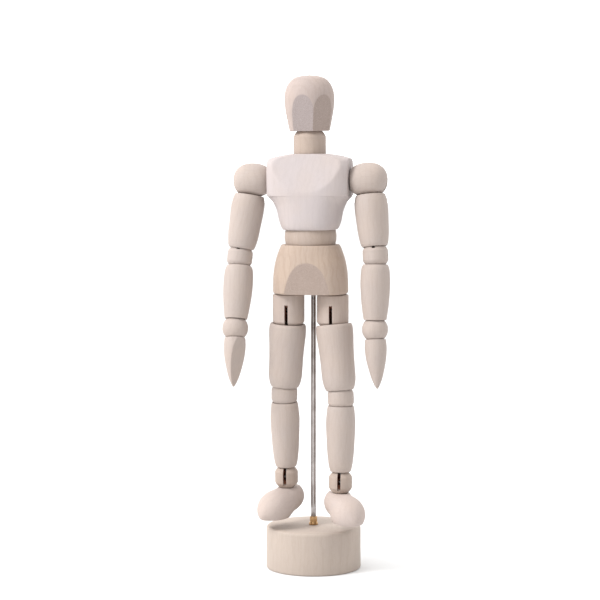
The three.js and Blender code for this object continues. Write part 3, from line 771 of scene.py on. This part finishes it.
def make_foot(side):
    toe_down = math.radians(15)
    drop, platform, sole = 6.5, 3.05, 4.2
    outline = [
        (0, -5.6), (1.6, -5.4), (2.9, -4.7), (3.75, -3.3), (4.1, -1.6), (4.1, 0.2), (4.2, 1.8), (4.5, 3.4), (4.75, 5.0),
        (4.72, 6.6), (4.35, 8.2), (3.5, 9.8), (2.3, 11.1), (1.0, 12.0), (0, 12.3),
    ]
    rings = divided([(r, z, r, 2.0) for r, z in flow(outline)], 0.25)
    ground = ((0, -math.cos(toe_down), math.sin(toe_down)), sole)
    obj = revolved(f"{side.name}_foot_egg", [(r[0], r[1]) for r in rings], 144, pressed(rings, [ground], 0.15))
    lie = Matrix(((1, 0, 0), (0, -math.sin(toe_down), -math.cos(toe_down)),
                  (0, math.cos(toe_down), -math.sin(toe_down)))).to_4x4()
    obj.data.transform(Matrix.Translation((0, 0, -drop * MM)) @ lie)
    seat = bmesh.new()
    bmesh.ops.create_uvsphere(seat, u_segments=64, v_segments=32, radius=(ANKLE[0] + SEAM) * MM)
    block = box_cutter((-10, -4.4, -platform), (10, 9.6, 7))
    return place(carve(obj, block, seat, rod_cutter(PEG_BORE, (0, 0, -7.6), (0, 0, 0), 20)), side.foot)


# ---- the figure ---------------------------------------------------------------------------------------------
SHOULDER, ELBOW, WRIST = (5.25, 4.85), (3.79, 3.55), (3.65, 3.62)
HIP, KNEE, ANKLE = (5.48, 4.48), (3.92, 3.68), (3.61, 3.28)
SHOULDER_INNER = 5.0


def turned_bead(name, matrix, profile, cutters):
    return place(carve(revolved(name, profile), *cutters), matrix)


def make_arm(side):
    n = side.name
    ball, belt = SHOULDER
    bulge = 2.25
    profile = [(0, -SHOULDER_INNER)]
    for z in [k * 0.25 - SHOULDER_INNER for k in range(42)] + [ball]:  # from the inner face to the outer pole
        half = ball if z > 0 else 6.2
        profile.append((belt * max(0.0, 1 - abs(z / half) ** bulge) ** (1 / bulge), z))
    profile = eased(profile, 0.35)
    blank = revolved(f"{n}_shoulder_bead", profile)
    blank.data.transform(Matrix.Rotation(side.sign * math.pi / 2, 4, "Y"))
    sweep = slot_cutter(ball + 1, -14, 96)
    sideways = Matrix.Rotation(side.sign * math.pi / 2, 3, "Z")
    bmesh.ops.rotate(sweep, cent=(0, 0, 0), matrix=sideways, verts=sweep.verts)
    peg = rod_cutter(PEG_BORE, (0, 0, 0), (-side.sign * 6, 0, 0), 20)
    flat = rod_cutter(CHAMBER, (-1.5, 0, 0), (1.5, 0, 0), 24)
    shoulder = place(carve(blank, chamber(), flat, sweep, peg), side.shoulder)
    wooden(shoulder, f"{n}_shoulder", "limb_wood", (0.07, 1, 1), core=3.9)

    length = side.arm_length
    arm = limb(f"{n}_upper_arm_turning", side.upper_arm, length, (ball, 4.2), (ELBOW[0], 2.46), [
        (3.3, -length + 2.46), (3.58, -length + 2.75), (3.9, -length + 3.6), (4.3, -length + 6.2), (4.47, -12.4),
        (4.65, -9.2), (4.65, -7.2), (4.52, -5.6), (4.1, -4.2),
    ])
    wooden(arm, f"{n}_upper_arm", "limb_wood")
    coil = spring(f"{n}_arm_coil", side.upper_arm, length, CENTRE_LOOP, EYE_LOOP, 6.4, 5.2)
    finish_piece(coil, spring_steel, f"{n}_upper_arm", f"{n}_arm_spring", 80)

    elbow = turned_bead(f"{n}_elbow_bead", side.elbow, bead_profile(*ELBOW), [
        chamber(), slot_cutter(ELBOW[0] + 1, 122, 215),
        rod_cutter(PEG_BORE, (0, 0, -5), (0, 0, 0), 20), pin_hole(5),
    ])
    wooden(elbow, f"{n}_elbow", "limb_wood", core=ELBOW[1])

    length = side.forearm_length
    forearm = limb(f"{n}_forearm_turning", side.forearm, length, (ELBOW[0], 2.5), (WRIST[0], 2.7), [
        (3.05, -length + 2.7), (3.25, -length + 3.0), (3.75, -length + 6.5), (4.05, -10.5), (4.15, -7.4),
        (4.02, -4.6), (3.75, -3.2), (3.35, -2.5),
    ])
    wooden(forearm, f"{n}_forearm", "limb_wood")
    coil = spring(f"{n}_forearm_coil", side.forearm, length, END_LOOP, END_LOOP, 5.2, 5.0)
    finish_piece(coil, spring_steel, f"{n}_forearm", f"{n}_forearm_spring", 80)

    wrist = turned_bead(f"{n}_wrist_bead", side.wrist, bead_profile(*WRIST), [
        chamber(), slot_cutter(WRIST[0] + 1, -39, 39), rod_cutter(PEG_BORE, (0, 0, 0), (0, 0, 5), 20),
    ])
    wooden(wrist, f"{n}_wrist", "limb_wood", core=WRIST[1])
    wooden(make_hand(side), f"{n}_hand", "limb_wood", sharp=30)


def make_leg(side):
    n = side.name
    ball, belt = HIP
    top = HIP_DROP - 0.25
    profile = eased([*arc(ball, -90, -angle_at(ball, belt)), (belt, top - 0.3), (belt - 0.3, top), (0, top)])
    hip = turned_bead(f"{n}_hip_bead", side.hip, profile, [
        chamber(), slot_cutter(ball + 1, -35, 111),
        rod_cutter(PEG_BORE, (0, 0, 0), (0, 0, 5), 20), pin_hole(7),
    ])
    wooden(hip, f"{n}_hip", "tan_wood", tint=(1.08, 1.1, 1.13), core=belt)

    length = side.thigh_length
    thigh = limb(f"{n}_thigh_turning", side.thigh, length, (ball, 3.82), (KNEE[0], 2.15), [
        (3.72, -length + 2.15), (4.0, -length + 2.5), (4.4, -length + 3.6), (4.72, -length + 5.6), (4.78, -15.5),
        (4.85, -12.7), (5.0, -9.9), (5.2, -7.1), (5.22, -5.4), (5.12, -4.4), (4.85, -3.82),
    ])
    wooden(thigh, f"{n}_thigh", "limb_wood")
    coil = spring(f"{n}_thigh_coil", side.thigh, length, EYE_LOOP, END_LOOP, 6.9, 5.4)
    finish_piece(coil, spring_steel, f"{n}_thigh", f"{n}_thigh_spring", 80)

    knee = turned_bead(f"{n}_knee_bead", side.knee, bead_profile(*KNEE), [
        chamber(), slot_cutter(KNEE[0] + 1, -86, 14),
        rod_cutter(PEG_BORE, (0, 0, 0), (0, 0, 5), 20), pin_hole(5),
    ])
    wooden(knee, f"{n}_knee", "limb_wood", core=KNEE[1])

    length = side.shin_length
    shin = limb(f"{n}_shin_turning", side.shin, length, (KNEE[0], 2.25), (ANKLE[0], 3.0), [
        (2.7, -length + 3.0), (2.95, -length + 3.3), (3.3, -length + 4.6), (3.58, -length + 6.6), (3.8, -15.0),
        (3.98, -11.6), (4.12, -8.6), (4.14, -6.6), (3.98, -4.4), (3.8, -2.9), (3.6, -2.25),
    ])
    wooden(shin, f"{n}_shin", "limb_wood")
    coil = spring(f"{n}_shin_coil", side.shin, length, EYE_LOOP, EYE_LOOP, 5.4, 5.1)
    finish_piece(coil, spring_steel, f"{n}_shin", f"{n}_shin_spring", 80)

    ankle = turned_bead(f"{n}_ankle_bead", side.ankle, bead_profile(*ANKLE), [
        chamber(), slot_cutter(ANKLE[0] + 1, 54, 215),
        rod_cutter(PEG_BORE, (0, 0, -5), (0, 0, 0), 20), pin_hole(5),
    ])
    wooden(ankle, f"{n}_ankle", "tan_wood", core=ANKLE[1])
    # the feet's brighter tint is painted light: their limb wood is lightened to stand in for the light that falls on
    # their tops
    wooden(make_foot(side), f"{n}_foot", "limb_wood", (1, 0.07, 1), sharp=30, tint=(1.12, 1.11, 1.12))


right.palm = Matrix.Rotation(math.radians(-42), 4, "Z")
left.palm = Matrix.Rotation(math.radians(140), 4, "Z")
for each_side in (right, left):
    make_arm(each_side)
    make_leg(each_side)

wooden(make_pelvis(), "pelvis", "warm_wood", sharp=30, rings=0.20, pared=[(*ARCH, PARED_WARM)])
wooden(make_chest(), "chest", "pale_wood", sharp=30)
wooden(make_head(), "head", "tan_wood", sharp=30, tint=(1.04, 1.06, 1.13), rings=0.16,
       pared=[(*CHEEKS[0], PARED), (*CHEEKS[1], PARED_WARM)])

top_angle = math.degrees(math.asin(WAIST_CUT / WAIST_BALL))
waist = turned_bead("waist_bead", waist_frame,
                    eased([(0, -WAIST_CUT), *arc(WAIST_BALL, -top_angle, top_angle), (0, WAIST_CUT)]),
                    [chamber(), slot_cutter(WAIST_BALL + 1, 130, 224),
                     rod_cutter(PEG_BORE, (0, 0, -8), (0, 0, 0), 20)])
wooden(waist, "waist", "tan_wood")
neck = turned_bead("neck_bead", neck_frame,
                   eased([*arc(NECK_BOTTOM, -90, -angle_at(NECK_BOTTOM, NECK_BELT)),
                          *arc(NECK_TOP, angle_at(NECK_TOP, NECK_BELT), 90)], 0.3),
                   [chamber(), slot_cutter(NECK_TOP + 1, 145, 215),
                    rod_cutter(PEG_BORE, (0, 0, -6), (0, 0, 0), 20)])
wooden(neck, "neck", "tan_wood")

shoulder_start = centre("right_shoulder_swing")
shoulder_line = basis(shoulder_start, shoulder_start - centre("left_shoulder_swing"), axis("neck_turn"))
shoulder_span = (centre("left_shoulder_swing") - shoulder_start).length / MM
coil = spring("shoulder_coil", shoulder_line, shoulder_span, END_LOOP, END_LOOP, 6.5, 6.5)
finish_piece(coil, spring_steel, "chest", "shoulder_spring", 80)


# ---- the stand ---------------------------------------------------------------------------------------------
BASE_RADIUS, BASE_HEIGHT = 13.5, 12.2
base = revolved("base_disc", eased([
    (0, 0), (BASE_RADIUS - 0.3, 0), (BASE_RADIUS, 0.3), (BASE_RADIUS, BASE_HEIGHT - 0.7),
    (BASE_RADIUS - 0.21, BASE_HEIGHT - 0.21), (BASE_RADIUS - 0.7, BASE_HEIGHT), (0, BASE_HEIGHT),
], 0.3), 192)
carve(base, rod_cutter(0.8, (0, 0, 4.2), (0, 0, 13)))
wooden(base, "base", "stand_wood", body="stand")
rod = revolved("support_rod_bar", eased([(0, 4.4), (0.75, 4.4), (0.75, 85.0), (0.45, 85.3), (0, 85.3)], 0.1), 48)
finish_piece(rod, steel, "stand", "support_rod")
ferrule = revolved("rod_ferrule_cup", eased([
    (0.79, 12.25), (1.3, 12.25), (1.3, 12.6), (1.05, 13.15), (1.05, 14.5), (0.93, 14.65), (0.79, 14.65),
], 0.08, closed=True), 48, closed=True)
finish_piece(ferrule, brass, "stand", "rod_ferrule")

for node in frame["nodes"]:
    if node.endswith(("_pin", "_peg", "_link")):
        kept = frame["nodes"][node]
        kept.data.materials.clear()
        kept.data.materials.append(spring_steel)


# ---- floor and light ----------------------------------------------------------------------------------------
def plain(name, colour, roughness):
    material, nodes, links, out = shader(name)
    where = nodes.new("ShaderNodeTexCoord").outputs["Object"]
    cloud = noise(nodes, links, where, 9.0, 3.0)
    faded = tuple(0.985 * c for c in colour)
    links.new(mixed(nodes, links, cloud, colour, faded), out.inputs["Base Color"])
    out.inputs["Roughness"].default_value = roughness
    return material


floor_mesh = bpy.data.meshes.new("floor")
reach = 3.0
floor_mesh.from_pydata([(-reach, -reach, 0), (reach, -reach, 0), (reach, reach, 0), (-reach, reach, 0)], [],
                       [(0, 1, 2, 3)])
floor = bpy.data.objects.new("floor", floor_mesh)
scene.collection.objects.link(floor)
floor_mesh.materials.append(plain("floor_paper", (0.74, 0.74, 0.74), 0.9))

world = bpy.data.worlds.new("studio")
scene.world = world
world.use_nodes = True
background = world.node_tree.nodes["Background"]
background.inputs["Color"].default_value = (1.0, 1.0, 1.0, 1.0)
sky = world.node_tree.nodes, world.node_tree.links
direction = sky[0].new("ShaderNodeTexCoord").outputs["Generated"]
# brightest behind and above the figure
backdrop = Vector((-0.35, 0.70, 0.62)).normalized()
facing = along_normal(*sky, direction, backdrop)
sky[1].new(ranged(*sky, facing, -0.6, 0.5, 0.60, 1.75), background.inputs["Strength"])


def area_light(name, place_at, aim_at, size, power, colour=(1.0, 1.0, 1.0)):
    data = bpy.data.lights.new(name, "AREA")
    data.shape = "DISK"
    data.size = size
    data.energy = power
    data.color = colour
    lamp = bpy.data.objects.new(name, data)
    scene.collection.objects.link(lamp)
    lamp.location = place_at
    lamp.rotation_euler = (Vector(aim_at) - Vector(place_at)).to_track_quat("-Z", "Y").to_euler()


figure_middle = (Vector(cad_low) + Vector(cad_high)) / 2
area_light("key", (-0.62, -0.32, 0.68), figure_middle, 0.40, 7.0)
